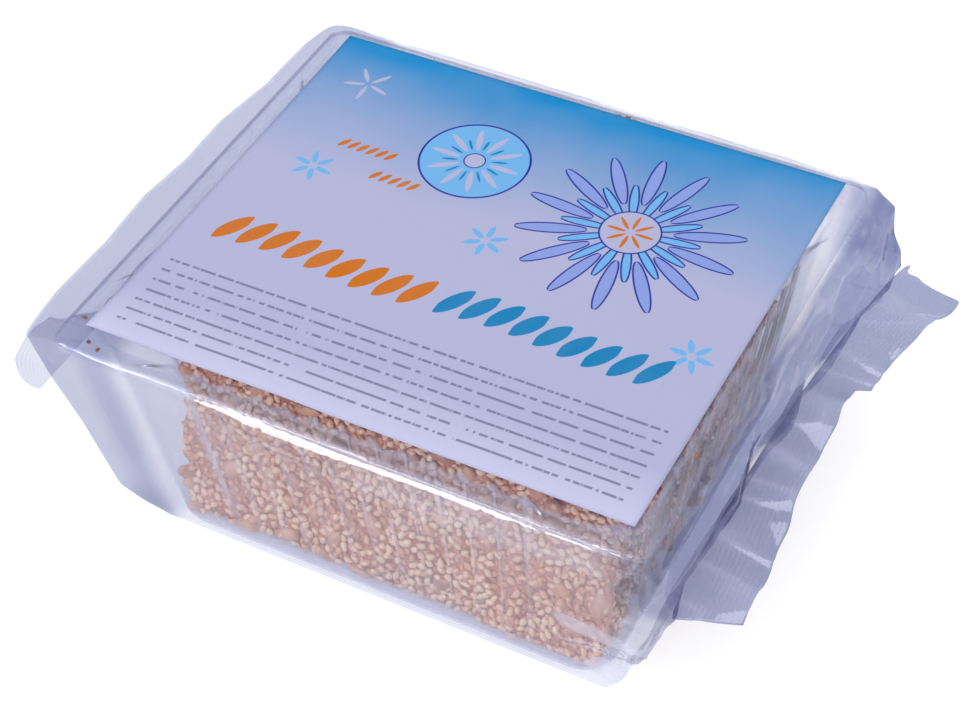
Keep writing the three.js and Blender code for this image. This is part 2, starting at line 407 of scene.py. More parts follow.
def slab_mesh(index):
    """Points, faces and zones of one slab, ragged round its edge and lumpy on its faces."""
    long_steps = round((SLAB_RIGHT - SLAB_LEFT) / SLAB_STEP)
    tall_steps = round(SLAB_HEIGHT / SLAB_STEP)
    up = np.linspace(0, 1, tall_steps + 1)
    across = np.concatenate([-np.ones_like(up), [0], np.ones_like(up), [0]])
    tall = np.concatenate([up, [1.012], up[::-1], [-0.012]])
    along = np.linspace(0, 1, long_steps + 1)
    y = np.tile(across * SLAB_CORE / 2, (len(along), 1))
    z = np.tile(tall * SLAB_HEIGHT, (len(along), 1))
    left, right = SLAB_LEFT - SLAB_FLARE * 0.4 * z, SLAB_RIGHT + SLAB_FLARE * z
    x = left + (right - left) * along[:, None]
    flat = np.stack([x, y, z], axis=-1) + [0, index * 37.0, 0]
    end = 2 * along[:, None] - 1
    x = x + np.sign(end) * np.abs(end) ** 6 * (drift(flat, (40, 9, 9), 3) - 0.6) * 2.6
    rim = np.abs(2 * z / SLAB_HEIGHT - 1)
    z = z + np.sign(z - SLAB_HEIGHT / 2) * rim ** 8 * (drift(flat, (9, 9, 40), 5) - 0.5) * 3.2
    y = y + np.sign(y) * ((drift(flat, 2.6, 7) - 0.5) * 0.9 + (drift(flat, 10, 9) - 0.5) * 1.9)
    bow = (drift(flat, (70, 200, 50), 11) - 0.5) * 3.0
    lean = math.radians(SLAB_LEAN + draw.uniform(-2.2, 2.2))
    foot = FRONT_SLAB_FOOT + index * SLAB_PITCH + (draw.uniform(-0.7, 0.7) if index else 0)
    y = y + bow
    points = np.stack([
        x + draw.uniform(-0.6, 0.6),
        foot + y * math.cos(lean) + z * math.sin(lean),
        SLAB_FLOOR + z * math.cos(lean) - y * math.sin(lean),
    ], axis=-1)
    count = len(tall)
    cell = np.arange(count)
    after = (cell + 1) % count
    low = np.arange(long_steps)[:, None] * count
    high = low + count
    quads = np.stack([high + cell, high + after, low + after, low + cell], axis=-1).reshape(-1, 4)
    around = [ZONES[side] for side in ("front", "edges", "back", "foot")]
    zones = np.tile(np.repeat(around, [tall_steps, 2, tall_steps, 2]), long_steps)
    level = np.tile((tall + tall[after]) / 2, long_steps)
    from_end = np.repeat(np.abs(end[:-1, 0] + end[1:, 0]) / 2, count)
    inner = (zones == ZONES["front"]) & (index > 0) | (zones == ZONES["back"]) & (index < SLABS - 1)
    inner_zones = np.where(from_end > SEEDED_END, ZONES["ends"], UNSEEDED)
    inner_zones = np.where(level > SEEDED_TOP, ZONES["between"], inner_zones)
    zones = np.where(inner, inner_zones, zones).tolist() + [ZONES["edges"]] * (2 * tall_steps + 4)
    front = np.arange(tall_steps + 1)
    back = count - 2 - front
    cap = np.column_stack([front[:-1], front[1:], back[1:], back[:-1]])
    lids = np.array([[tall_steps, tall_steps + 1, tall_steps + 2], [count - 2, count - 1, 0]])
    far = long_steps * count
    quads = np.concatenate([quads, cap[:, ::-1], cap + far])
    return points.reshape(-1, 3), quads.tolist() + lids[:, ::-1].tolist() + (lids + far).tolist(), zones


def boiled_sugar():
    material, tree = new_material("boiled_sugar")
    blotch = blend(tree, uneven(tree, 220, 0, 1), rgb(188, 98, 60), rgb(224, 138, 92))
    depth = blend(tree, uneven(tree, 60, 0, 0.45), blotch, rgb(136, 70, 48))
    pits = add(tree, "ShaderNodeBump", {
        "Strength": 0.6, "Distance": 0.0006, "Height": uneven(tree, 900, 0, 1)})
    return finished(material, "ShaderNodeBsdfPrincipled", {
        "Base Color": depth, "Roughness": uneven(tree, 400, 0.22, 0.42), "Normal": pits,
        "Coat Weight": 0.3, "Coat Roughness": 0.12, "IOR": 1.5})


slab_parts = [slab_mesh(index) for index in range(SLABS)]
slab_points, slab_faces = joined([part[:2] for part in slab_parts])
slab_zones = [zone for part in slab_parts for zone in part[2]]
slabs = new_piece("brittle_slabs", slab_points, slab_faces, boiled_sugar(), "caramel")
slabs.data.attributes.new("zone", "INT", "FACE").data.foreach_set("value", slab_zones)
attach(slabs, "root")


# Sesame seeds: hulled and lightly toasted, just under 3 mm long, one layer on the sugar and one sunk
# in it. They cover the slabs' outer faces and cut edges, and the tops and ends of the inner faces.
SEED_SIZE = (2.7, 1.9, 1.25)
SUNK_SEED_SIZE = (2.3, 1.7, 1.1)
MOST_SEEDS = 2.4e6


def drop_shape(name, size, segments, rings, point=1.2):
    """A seed's closed teardrop, lying along X with its pointed end forward, and how near the point it is."""
    steps = (np.arange(rings) + 1) / (rings + 1)
    along = (1 - np.cos(np.pi * steps)) / 2
    radius = np.sin(np.pi * along ** (1 / point)) ** 0.62
    around = np.linspace(0, 2 * np.pi, segments, endpoint=False)
    loops = [np.column_stack([np.full(segments, a - 0.5), r * np.cos(around) / 2, r * np.sin(around) / 2])
             for a, r in zip(along, radius)]
    points, faces = skin(loops)
    points[-2:] = [(-0.5, 0, 0), (0.5, 0, 0)]
    mesh = smooth_mesh(name, points * np.array(size) * MM, faces)
    mesh.attributes.new("tip", "FLOAT", "POINT").data.foreach_set("value", points[:, 0] + 0.5)
    return bpy.data.objects.new(name, mesh)


def scatter_tree():
    """Geometry nodes: one shape laid over the faces of a zone, evenly but at random, as loose meshes."""
    tree = bpy.data.node_groups.new("scatter_on_slabs", "GeometryNodeTree")
    kinds = {"Slabs": "Geometry", "Shape": "Object", "Zone": "Int", "Spacing": "Float", "Share": "Float",
             "Bare": "Float", "Lift": "Float", "Tilt": "Float", "Unlike": "Float", "Seed": "Int",
             "Finish": "Material"}
    for name, kind in kinds.items():
        tree.interface.new_socket(name, in_out="INPUT", socket_type="NodeSocket" + kind)
    tree.interface.new_socket("Pieces", in_out="OUTPUT", socket_type="NodeSocketGeometry")
    ends = add(tree, "NodeGroupInput").outputs

    def chance(low, high, salt):
        """A random number, or a vector if low is one, for each point."""
        kind, base, output = ("FLOAT_VECTOR", 0, 0) if isinstance(low, tuple) else ("FLOAT", 2, 1)
        seed = sum_up(tree, "ADD", ends["Seed"], float(salt))
        sockets = {base: low, base + 1: high, "Seed": seed}
        return add(tree, "FunctionNodeRandomValue", sockets, data_type=kind).outputs[output]

    def vector(operation, sockets):
        return add(tree, "ShaderNodeVectorMath", sockets, operation=operation)

    zone = add(tree, "GeometryNodeInputNamedAttribute", {"Name": "zone"}, data_type="INT")
    chosen = add(tree, "FunctionNodeCompare", {2: zone, 3: ends["Zone"]}, data_type="INT", operation="EQUAL")
    strewn = add(tree, "GeometryNodeDistributePointsOnFaces", {
        "Mesh": ends["Slabs"], "Selection": chosen, "Distance Min": ends["Spacing"],
        "Density Max": MOST_SEEDS, "Density Factor": 1.0, "Seed": ends["Seed"]}, distribute_method="POISSON")
    place = add(tree, "GeometryNodeInputPosition")
    blotch = add(tree, "ShaderNodeTexNoise", {"Vector": place, "Scale": 85.0, "Detail": 1.0})
    bare = add(tree, "ShaderNodeMapRange", {
        "Value": blotch, "From Min": 0.5, "From Max": 0.64, "To Min": 0.0, "To Max": ends["Bare"]})
    share_here = sum_up(tree, "SUBTRACT", ends["Share"], bare.outputs[0])
    missed = add(tree, "FunctionNodeCompare", {0: chance(0.0, 1.0, 1), 1: share_here},
                 data_type="FLOAT", operation="GREATER_THAN")
    kept = add(tree, "GeometryNodeDeleteGeometry", {
        "Geometry": strewn.outputs["Points"], "Selection": missed}, domain="POINT")
    rise = sum_up(tree, "MULTIPLY", ends["Lift"], chance(0.2, 1.0, 2))
    push = vector("SCALE", {0: strewn.outputs["Normal"], "Scale": rise})
    lifted = add(tree, "GeometryNodeSetPosition", {"Geometry": kept, "Offset": push})
    most_turn = add(tree, "ShaderNodeCombineXYZ", {0: ends["Tilt"], 1: ends["Tilt"], 2: 2 * math.pi})
    spin = vector("MULTIPLY", {0: chance((-1.0, -1.0, 0.0), (1.0, 1.0, 1.0), 3), 1: most_turn})
    turned = add(tree, "FunctionNodeRotateRotation", {
        "Rotation": strewn.outputs["Rotation"], "Rotate By": spin}, rotation_space="LOCAL")
    grow = vector("SCALE", {0: chance((-1.0, -1.0, -1.0), (1.0, 1.0, 1.0), 4), "Scale": ends["Unlike"]})
    size = vector("ADD", {0: grow, 1: (1.0, 1.0, 1.0)})
    shape = add(tree, "GeometryNodeObjectInfo", {"Object": ends["Shape"]})
    laid = add(tree, "GeometryNodeInstanceOnPoints", {
        "Points": lifted, "Instance": shape.outputs["Geometry"], "Rotation": turned, "Scale": size})
    toned = add(tree, "GeometryNodeStoreNamedAttribute", {
        "Geometry": laid, "Name": "tone", "Value": chance(0.0, 1.0, 5)}, data_type="FLOAT", domain="INSTANCE")
    real = add(tree, "GeometryNodeRealizeInstances", {"Geometry": toned})
    painted = add(tree, "GeometryNodeSetMaterial", {"Geometry": real, "Material": ends["Finish"]})
    add(tree, "NodeGroupOutput", {"Pieces": painted})
    return tree


SCATTER = scatter_tree()


def strew(name, lay, zone, spacing, seed):
    """The meshes that the scatter tree lays on a zone of the slabs, as one object riding on the pack."""
    settings = {**lay, "Zone": ZONES[zone], "Spacing": spacing * MM, "Seed": seed}
    holder = placed(name, slabs.data)
    modifier = holder.modifiers.new("scatter", "NODES")
    modifier.node_group = SCATTER
    for socket in SCATTER.interface.items_tree:
        if socket.name in settings:
            modifier[socket.identifier] = settings[socket.name]
    sight = bpy.context.evaluated_depsgraph_get()
    mesh = bpy.data.meshes.new_from_object(holder.evaluated_get(sight), depsgraph=sight)
    holder.modifiers.clear()
    holder.data = mesh
    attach(holder, "root")


def toasted(name, pale, usual, brown, browned_share, tip_shade):
    """A seed's finish: pale to browned from seed to seed, darker at its point, under a thin sugar coat."""
    material, tree = new_material(name)
    tone = stored(tree, "tone")
    pointed = sum_up(tree, "POWER", stored(tree, "tip"), 3.0)
    light = blend(tree, sum_up(tree, "MULTIPLY", tone, 1.3), usual, pale)
    dark_ones = add(tree, "ShaderNodeMapRange", {
        "Value": tone, "From Min": 0.0, "From Max": browned_share, "To Min": 1.0, "To Max": 0.0})
    colour = blend(tree, dark_ones, light, brown)
    for share in (sum_up(tree, "MULTIPLY", pointed, tip_shade), uneven(tree, 900, 0.0, 0.28),
                  uneven(tree, 80, 0.0, 0.45, 2)):
        colour = blend(tree, share, colour, brown)
    grain = add(tree, "ShaderNodeBump", {
        "Strength": 0.35, "Distance": 0.0002, "Height": uneven(tree, 2600, 0, 1, 1)})
    return finished(material, "ShaderNodeBsdfPrincipled", {
        "Base Color": colour, "Roughness": uneven(tree, 700, 0.32, 0.55, 1), "Normal": grain})


sesame_finish = toasted(
    "toasted_sesame", rgb(255, 226, 188), rgb(252, 200, 154), rgb(218, 138, 94), 0.25, 0.3)
glazed_finish = toasted(
    "glazed_sesame", rgb(246, 186, 138), rgb(232, 156, 110), rgb(194, 108, 70), 0.35, 0.4)
fine_seed = drop_shape("sesame_seed", SEED_SIZE, 8, 5)
plain_seed = drop_shape("sesame_seed_plain", SEED_SIZE, 6, 3)
sunk_seed = drop_shape("sesame_seed_sunk", SUNK_SEED_SIZE, 6, 3)
small_seed = drop_shape("sesame_seed_small", SEED_SIZE, 5, 2)
loose_lay = {
    "Finish": sesame_finish, "Shape": fine_seed, "Share": 1.0, "Bare": 0.75, "Lift": 1.0 * MM,
    "Tilt": 0.2, "Unlike": 0.13}
sunk_lay = {
    "Finish": glazed_finish, "Shape": sunk_seed, "Share": 1.0, "Bare": 0.0, "Lift": 0.25 * MM,
    "Tilt": 0.35, "Unlike": 0.15}
strew("sesame_on_front", loose_lay, "front", 2.1, 5)
strew("sesame_sunk_in_front", sunk_lay, "front", 1.9, 6)
strew("sesame_on_edges", {**loose_lay, "Shape": plain_seed}, "edges", 1.45, 7)
strew("sesame_on_back", loose_lay, "back", 2.25, 8)
strew("sesame_sunk_in_back", sunk_lay, "back", 1.9, 11)
strew("sesame_at_ends", {**loose_lay, "Shape": small_seed, "Lift": 0.5 * MM}, "ends", 1.8, 12)
strew("sesame_between", sunk_lay, "between", 1.9, 9)
strew("sesame_under", {**sunk_lay, "Lift": 0.0}, "foot", 1.7, 10)


# Sunflower kernels: tan teardrops of 8 to 10 mm and broken round ones, a few dozen to a face, pressed
# into the same sugar under the sesame.
KERNEL_SIZE = (8.6, 4.6, 2.4)
BROKEN_SIZE = (4.8, 4.2, 2.4)
kernel_finish = toasted(
    "sunflower_kernel", rgb(232, 166, 120), rgb(214, 142, 98), rgb(164, 92, 60), 0.3, 0.45)
whole_kernel = drop_shape("sunflower_kernel_shape", KERNEL_SIZE, 9, 6, 1.35)
broken_kernel = drop_shape("broken_kernel_shape", BROKEN_SIZE, 8, 5, 1.05)
kernel_lay = {"Finish": kernel_finish, "Share": 0.6, "Lift": 0.7 * MM, "Tilt": 0.2, "Unlike": 0.2}
for face in ("front", "back"):
    strew("sunflower_on_" + face, {**kernel_lay, "Shape": whole_kernel}, face, 11, 21)
    strew("broken_kernels_on_" + face, {**kernel_lay, "Shape": broken_kernel}, face, 8, 22)


# Crumbs: a few chips of seed and sugar that came off the slabs and lie loose on the tray's flange,
# flat under the film.
CHIP_PLACES = ((-76.2, -60.2), (-70.4, -66.9), (-66.8, -68.3), (9.0, 68.0), (11.6, 68.5), (13.8, 67.8),
               (77.9, -36.0))
CHIP_SCALE = (0.62, 0.62, 0.33)
CHIP_HEIGHT = 69.05
CHIP_TURN = 2.4
chip = np.array([vertex.co for vertex in plain_seed.data.vertices]) / MM * CHIP_SCALE
chip_faces = [list(face.vertices) for face in plain_seed.data.polygons]
chips = []
for count, place in enumerate(CHIP_PLACES):
    cos, sin = math.cos(CHIP_TURN * count), math.sin(CHIP_TURN * count)
    laid = chip @ np.array([[cos, sin, 0], [-sin, cos, 0], [0, 0, 1]]) + [*place, CHIP_HEIGHT]
    chips.append((laid, chip_faces))
crumbs = new_piece("crumbs_on_flange", *joined(chips), kernel_finish, "seed")
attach(crumbs, "root")


# Film: one clear flow-wrap bag drawn tight over the rim and hanging slack at both ends, where it is
# crimped. One closed skin of loops from the floor to the lid, then pushed in and out for its folds.
LEFT_END = {"floor": (-65.2, -66.5, -65), "kick": (-78.8, -70, -75),
            "seal": (-87, -86.5, -85), "shoulder": (-88.5, -90.5, -83.2)}
RIGHT_END = {"floor": (66.7, 67.5, 66), "kick": (69.2, 70.5, 70),
             "seal": (87.2, 85.6, 94), "shoulder": (82.6, 84, 88)}
KICK_HEIGHT = 5.7
SEAL_HEIGHT = 48.6
SHOULDER_HEIGHT = 66.3
FLOOR_DEPTH = 117.0
BAND_TOP = 68.9
BAND_HEIGHT = 3.6
BAND_SLOPE = 0.8
PINCHES = (((84.0, -16.0, 52.0), 26.0, 1.0), ((71.0, -64.0, 22.0), 20.0, 2.0))
PINCH_RAYS = 7
FILM_SIDE_COLUMNS = 170
FILM_END_COLUMNS = 150
FILM_ROW = 0.8


def across_end(places, t):
    front, middle, back = places
    return front + (back - front) * t + (middle - (front + back) / 2) * np.sqrt(np.abs(np.sin(np.pi * t)))


def end_x(end, height, t):
    """Where the film stands at one end, at a height and a place from the front (0) to the back (1)."""
    levels = ((0.0, "floor"), (KICK_HEIGHT, "kick"), (SEAL_HEIGHT, "seal"), (SHOULDER_HEIGHT, "shoulder"))
    for (low, below), (high, above) in zip(levels, levels[1:]):
        if height <= high:
            share = (height - low) / (high - low)
            return across_end(end[below], t) * (1 - share) + across_end(end[above], t) * share


def half_depth(height):
    return (FLOOR_DEPTH + (2 * RIM_HALF[1] - FLOOR_DEPTH) * min(1, height / RIM_HEIGHT)) / 2


side_share = np.linspace(0, 1, FILM_SIDE_COLUMNS, endpoint=False)
end_share = np.linspace(0, 1, FILM_END_COLUMNS, endpoint=False)
side_ones, end_ones = np.ones(FILM_SIDE_COLUMNS), np.ones(FILM_END_COLUMNS)
film_square = np.column_stack([
    np.concatenate([2 * side_share - 1, end_ones, 1 - 2 * side_share, -end_ones]),
    np.concatenate([-side_ones, 2 * end_share - 1, side_ones, 1 - 2 * end_share]),
])


def film_loop(height):
    """The pack's outline at a height, before its folds: front, right end, back, left end."""
    x = np.concatenate([
        end_x(LEFT_END, height, 0) * (1 - side_share) + end_x(RIGHT_END, height, 0) * side_share,
        end_x(RIGHT_END, height, end_share),
        end_x(RIGHT_END, height, 1) * (1 - side_share) + end_x(LEFT_END, height, 1) * side_share,
        end_x(LEFT_END, height, 1 - end_share),
    ])
    return np.column_stack([x, half_depth(height) * film_square[:, 1], np.full(len(x), height)])


def rim_loop(inset, height):
    """A loop on the lid, inset from the rim, column for column with film_loop."""
    half = RIM_HALF - inset
    corner = max(RIM_CORNER - inset * 0.5, 1.0)
    square = film_square * half
    inner = np.clip(square, corner - half, half - corner)
    out = square - inner
    out *= corner / np.maximum(np.linalg.norm(out, axis=1, keepdims=True), 1e-6)
    return np.column_stack([inner + out, np.full(len(square), height)])


def soften(loop, passes):
    """Rounds a loop's corners by drawing each point towards its neighbours."""
    for _ in range(passes):
        loop = (np.roll(loop, 1, axis=0) + 2 * loop + np.roll(loop, -1, axis=0)) / 4
    return loop


def film_rows():
    """Loops from the middle of the underside, up the walls, over the rim and in under the label."""
    rows = [film_loop(0) * [share, share, 1] for share in (0.04, 0.3, 0.6, 0.85, 0.95, 0.985)]
    heights = np.arange(0, SHOULDER_HEIGHT + 0.01, FILM_ROW)
    rows += [soften(film_loop(height), 6) for height in heights]
    over, edge = film_loop(SHOULDER_HEIGHT), rim_loop(0, RIM_HEIGHT)
    for share in (0.2, 0.4, 0.6, 0.8):
        between = over + (edge - over) * share
        between[:, 2] = SHOULDER_HEIGHT + (RIM_HEIGHT - SHOULDER_HEIGHT) * math.sin(share * math.pi / 2)
        rows.append(soften(between, 5))
    rows += [rim_loop(inset, RIM_HEIGHT) for inset in (0, 0.8, 1.6, 2.4, 3.2, 4.0, 5, 6, 7, 8.5, 12)]
    rows += [rim_loop(0, RIM_HEIGHT) * [share, share, 1] for share in (0.7, 0.4, 0.1, 0.02)]
    return np.array(rows)


def normals_of(grid):
    """Outward normals of a grid of loops that close round their columns."""
    down = np.gradient(grid, axis=0)
    round_it = np.roll(grid, -1, axis=1) - np.roll(grid, 1, axis=1)
    cross = np.cross(round_it, down)
    return cross / np.maximum(np.linalg.norm(cross, axis=-1, keepdims=True), 1e-9)


def ridge(points, size, shift, sharp=1.0):
    """Narrow crests where smooth noise crosses its middle, from 0 to 1."""
    return (1 - np.abs(2 * drift(points, size, shift) - 1)) ** (3 * sharp)


def creases(points, direction, pitch, shift, size=(70, 160, 70)):
    """Flat facets between nearly straight sharp folds that run across a direction, from 0 to 1."""
    away = points @ (np.array(direction) / np.linalg.norm(direction)) / pitch
    away = away + drift(points, size, shift) * 3.0
    return np.abs(2 * (away % 1) - 1)


def pinch_rays(points, centre, reach, strength):
    """Sharp folds that run out from one pinched point and fade away from it, from 0 to its strength."""
    away = points - np.array(centre)
    angle = np.arctan2(away[..., 2] - 0.4 * away[..., 0], away[..., 1]) / (2 * np.pi)
    swing = drift(points, 14, centre[1]) * 0.8
    rays = np.abs(2 * ((angle * PINCH_RAYS + swing) % 1) - 1)
    return strength * rays * np.exp(-(np.linalg.norm(away, axis=-1) / reach) ** 2)


def film_folds(grid):
    """How far each point of the bag moves along its normal, how hazy the film is there, and how much painted
    shade darkens its tint there.
    """
    x, y, h = grid[..., 0], grid[..., 1], grid[..., 2]
    wall = ease(h, 0.5, 4) * ease(RIM_HEIGHT - h, -0.5, 0.6)
    right = ease(x, 66, 76) * wall
    left = ease(-x, 68, 80) * wall
    front = ease(-y, 40, 55) * wall * (1 - right) * (1 - left)
    back = ease(y, 40, 55) * wall * (1 - right) * (1 - left)
    long_folds, steep_folds = creases(grid, (1, 0.16, -0.5), 8.5, 3), creases(grid, (0.6, -0.12, 1), 12, 5)
    wide_folds = creases(grid, (0.5, 0.8, -0.7), 31, 7) * 1.8 + creases(grid, (-0.3, 1, 0.4), 43, 11) * 2.0
    rays = sum(pinch_rays(grid, *pinch) for pinch in PINCHES)
    fine_folds = ridge(grid, (3.4, 60, 6), 2) * 0.3
    move = right * (fine_folds + long_folds * 0.8 + steep_folds * 0.6 + wide_folds - 2.7)
    move += ease(x, 62, 70) * wall * rays * 0.9
    slack = creases(grid, (-0.4, 1, 0.8), 38, 9) - 0.5
    move += left * (slack + (drift(grid, (30, 40, 30), 13) - 0.5) * 1.6)
    sag = drift(grid, (48, 30, 60), 14) - 0.5
    move += (front + back) * (sag + (ridge(grid, (26, 26, 60), 16, 2) - 0.15) * 0.7)
    tall = BAND_HEIGHT * (0.36 + 0.6 * ease(x, -50, 0) - 0.25 * ease(x, 30, 60))
    above, below = np.clip((BAND_TOP - h) / tall, 0, 1), np.maximum(BAND_TOP - tall - h, 0)
    uneven_pull = 0.9 + 0.1 * ease(drift(grid, (40, 50, 50), 18), 0.25, 0.6)
    band = above * np.exp(-(below / 8) ** 2) * ease(x, -76, -40) * ease(-x, -80, -70)
    move += np.where(y < -50, band * uneven_pull * BAND_SLOPE * tall, 0)
    top_film = ease(h, RIM_HEIGHT - 0.3, RIM_HEIGHT) * ease(
        np.maximum(np.abs(x) / RIM_HALF[0], np.abs(y) / RIM_HALF[1]), 0.9, 0.95)
    move -= top_film * ridge(grid, (14, 14, 14), 22) * 0.12
    haze = 0.015 + 0.02 * right + 0.03 * left + 0.075 * front * ease(x, -64, -56)
    haze += 0.1 * right * ridge(grid, (2.6, 70, 6), 26, 2.5) + 0.18 * right * ease(long_folds, 0.86, 1)
    haze += 0.14 * right * ease(steep_folds, 0.9, 1) + 0.3 * wall * ease(rays, 0.72, 1)
    haze += 0.14 * (front + back) * ease(drift(grid, (26, 30, 24), 30), 0.5, 0.95)
    haze += 0.1 * (front + back) * ridge(grid, (1.6, 30, 40), 32, 3) * drift(grid, (30, 30, 30), 33)
    # Painted shade: the film's see-through tint is darkened a little everywhere, more over the back and left
    # of the lid, and most at both ends (the left front corner and the right end above its seal), standing in
    # for the shade in its folds and layers.
    on_lid = ease(h, 67.5, RIM_HEIGHT)
    lid = 0.26 * on_lid * (1 - 0.75 * np.maximum(ease(-y, 58, 66), ease(x, 66, 74)))
    over_seal = 0.36 + 0.64 * ease(h, SEAL_HEIGHT - 6, SEAL_HEIGHT + 2)
    left_end = (0.48 + 0.28 * ease(-y, 50, 58) * ease(x, -78, -68)) * ease(-x, 56, 66)
    ends = np.maximum(left_end, ease(x - 10 * on_lid, 68, 79) * over_seal)
    return move, haze, np.maximum(np.maximum(0.11, lid), ends)


def film_finish():
    material, tree = new_material("clear_film")
    # Painted shade: the stored number darkens the see-through tint towards a dim blue-grey.
    tint = blend(tree, stored(tree, "dim"), (0.952, 0.953, 0.975, 1), (0.38, 0.415, 0.59, 1))
    crimp = sum_up(tree, "SINE", sum_up(tree, "MULTIPLY", stored(tree, "crimp"), math.pi))
    crimp = sum_up(tree, "POWER", sum_up(tree, "ABSOLUTE", crimp), 6.0)
    crimp = sum_up(tree, "MULTIPLY", crimp, uneven(tree, 60, 0.1, 0.9, 1))
    wrinkle = uneven(tree, 240, 0.0, 1.0, 2, (1.0, 1.0, 0.45))
    ripple = add(tree, "ShaderNodeBump", {
        "Strength": 0.22, "Distance": 0.0004, "Height": sum_up(tree, "MULTIPLY_ADD", crimp, 0.4, wrinkle)})
    cloud = sum_up(tree, "MULTIPLY_ADD", crimp, 0.1, stored(tree, "haze"))
    return clear_plastic(material, tint, rgb(208, 209, 232), cloud, 0.05, ripple)


clear_film = film_finish()


def film_piece(name, points, faces, **marks):
    """A piece of the clear film, with the numbers that its finish reads."""
    piece = new_piece(name, points, faces, clear_film, "film")
    for mark, values in marks.items():
        name_points(piece, mark, values)
    piece.visible_shadow = False
    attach(piece, "root")
    return piece


bag_grid = film_rows()
bag_move, bag_haze, bag_dim = film_folds(bag_grid)
bag_grid = bag_grid + normals_of(bag_grid) * bag_move[..., None]
bag_grid[..., 2] = np.clip(bag_grid[..., 2], 0.0, RIM_HEIGHT)
film_bag = film_piece("film_bag", *skin(list(bag_grid)), haze=bag_haze.ravel(), dim=bag_dim.ravel(),
                      crimp=0 * bag_haze.ravel())
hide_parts("film_pack")


# End seals: the bag's two film layers welded together in a fine crimp. The right one stands out, flared
# and wavy, with a pleat; the left one is folded down, with a loose round lobe at its front.
SEAL_HALF_LENGTH = 62.5
SEAL_FRONT_SLANT = 4.5
SEAL_ROOT = 0.4
BACK_WEB = 5.5
SEAL_SHEET = 0.22
RIGHT_SEAL_WIDTH = 11.5
RIGHT_BACK_FLARE = 9.0
RIGHT_FRONT_FLARE = 4.5
PLEAT_Y = 20.5
PLEAT_STEP = 3.5
WAVE_HEIGHT = 1.6
WAVE_LENGTH = 34.0
LEFT_SEAL_WIDTH = 9.0
LEFT_DROOP = 10.0
LOBE_FRONT = 71.0
LOBE_LENGTH = 34.0
LOBE_REACH = 15.0
CRIMP_PITCH = 1.25
SEAL_LONG_STEPS = 240
SEAL_WIDE_STEPS = 30


def root_x(end, y):
    return end_x(end, SEAL_HEIGHT, np.clip((y / half_depth(SEAL_HEIGHT) + 1) / 2, 0, 1))


def right_seal(u, v):
    """Middle surface of the standing seal, u from front to back and v outwards."""
    front = SEAL_HALF_LENGTH + SEAL_FRONT_SLANT * (1 - v)
    y = -front + (SEAL_HALF_LENGTH + BACK_WEB + front) * u
    web = np.clip((SEAL_HALF_LENGTH + BACK_WEB - y) / BACK_WEB, 0, 1) ** 2.5
    flare = RIGHT_FRONT_FLARE * ease(-y, 0, SEAL_HALF_LENGTH)
    flare += RIGHT_BACK_FLARE * ease(y, PLEAT_Y, SEAL_HALF_LENGTH)
    flare += PLEAT_STEP * ease(y, PLEAT_Y - 1, PLEAT_Y + 1)
    outer = RIGHT_END["seal"][1] + RIGHT_SEAL_WIDTH + flare
    root = root_x(RIGHT_END, y) - SEAL_ROOT
    wave = WAVE_HEIGHT * np.sin(2 * np.pi * y / WAVE_LENGTH) * v
    return np.stack([root + ((outer - root) * web + 0.3) * v, y, SEAL_HEIGHT + wave], axis=-1)


def left_seal(u, v):
    """Middle surface of the folded seal and its lobe."""
    y = -LOBE_FRONT + (SEAL_HALF_LENGTH + LOBE_FRONT) * u
    from_tip = (y + LOBE_FRONT) / LOBE_LENGTH
    lobe = np.sqrt(np.maximum(0, 1 - (2 * from_tip - 1) ** 2))
    folded = ease(from_tip, 0.5, 1.2)
    reach = np.maximum(np.maximum(LEFT_SEAL_WIDTH * folded, LOBE_REACH * lobe), 1)
    root = root_x(LEFT_END, y)
    inner = root + SEAL_ROOT
    x = inner + (root - reach - inner) * v
    return np.stack([x, y, SEAL_HEIGHT - LEFT_DROOP * folded * v * v], axis=-1)


def seal_piece(name, middle, dim):
    """A seal as one thin closed sheet over its middle surface, waved and wrinkled, its tint darkened by an
    even painted shade.
    """
    u, v = square_grid(SEAL_LONG_STEPS, SEAL_WIDE_STEPS)
    sheet = middle(u, v)
    crimp = np.where(v > 0.14, np.abs(sheet[:, -1:, 0] - sheet[..., 0]) / CRIMP_PITCH, 0)
    fold = ridge(sheet, (30, 7, 40), 31, 2)
    sheet[..., 2] += v * ((fold - 0.2) * 1.4 + (drift(sheet, (14, 11, 14), 33) - 0.5) * 2.0)
    sheet[..., 0] += (drift(sheet, (60, 7, 60), 35) - 0.5) * 1.2 * v * np.sign(sheet[..., 0])
    haze = np.tile((0.02 + 0.2 * fold).ravel(), 2)
    film_piece(name, *thin_sheet(sheet, SEAL_SHEET / 2, -SEAL_SHEET / 2), haze=haze,
               dim=np.full(len(haze), dim), crimp=np.tile(crimp.ravel(), 2))


# The right seal's film carries a heavy painted shade, the left one's a light one.
seal_piece("film_seal_right", right_seal, 0.69)
seal_piece("film_seal_left", left_seal, 0.2)


# Label: one sheet of smooth coated paper stuck over the lid a little askew, printed in blues and orange
# with a made-up pattern of rosettes, leaves and dotted rules. Its front edge lifts in shallow waves.
LABEL_SIZE = (148.0, 130.3)
LABEL_SHEET = 0.22
LABEL_HEIGHT = 69.62
LABEL_TURN = 0.25
LABEL_STEPS = (90, 80)
RULE_PITCH = 0.0268
LEAF_SLANT = math.radians(58)
WAVE_OF_LEAVES = 0.42
OUTLINE_WIDTH = 0.0032
PAPER_WHITE = rgb(166, 168, 198)
EDGE_WHITE = rgb(188, 189, 218)
SKY_BLUE = rgb(10, 128, 188)
PALE_SKY = rgb(104, 166, 216)
PETAL_BLUE = rgb(128, 146, 206)
OUTLINE_BLUE = rgb(30, 40, 140)
TEAL = rgb(8, 118, 170)
ORANGE = rgb(190, 104, 18)
RULE_GREY = rgb(92, 92, 122)


